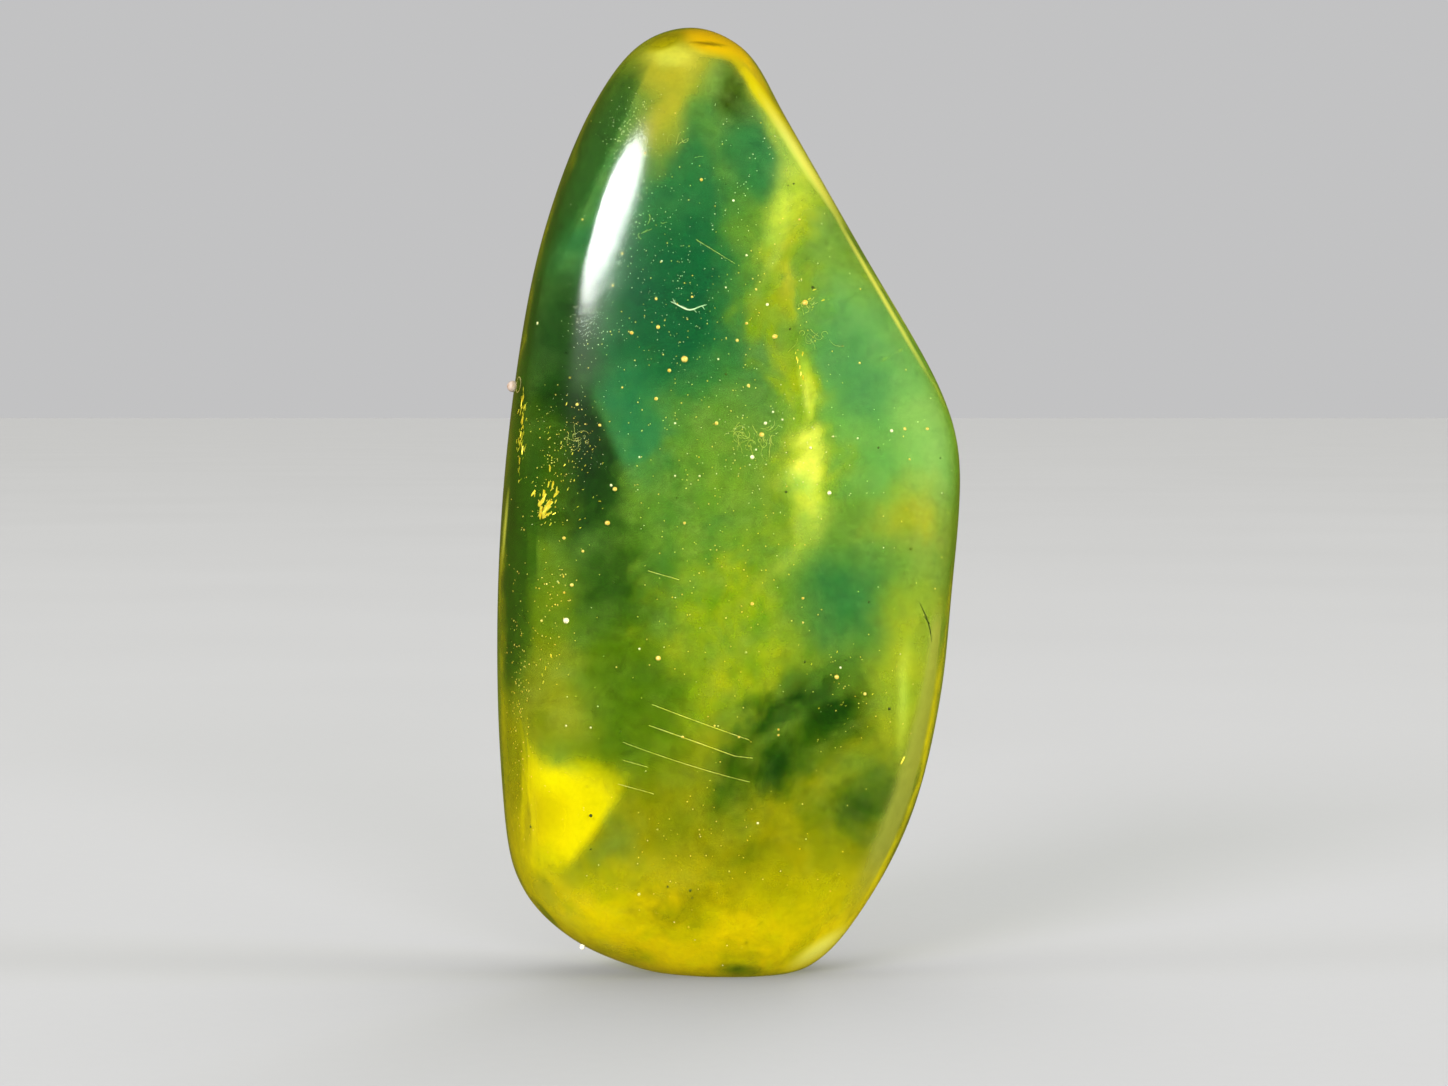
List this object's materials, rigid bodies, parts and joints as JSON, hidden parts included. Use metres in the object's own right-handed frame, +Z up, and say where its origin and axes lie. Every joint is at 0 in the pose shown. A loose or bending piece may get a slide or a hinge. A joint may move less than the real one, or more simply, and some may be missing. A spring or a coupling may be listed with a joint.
{
  "type": "polished amber",
  "caption": "Freeform polished amber stone, tall and rounded with a tapering tip, a broad domed front and a small flat foot it stands on.",
  "frame": {"origin": "on the table, under the middle of the stone's bounding box", "axes": "+Z up along the stone's height, +X across its width to the right seen from the front, -Y out of the broad front face"},
  "size_m": [0.0246, 0.0134, 0.0502],
  "materials": {
    "amber": "polished, clear yellow-green with teal clouds"
  },
  "bodies": {
    "root": {"amber": "amber"}
  },
  "joints": []
}
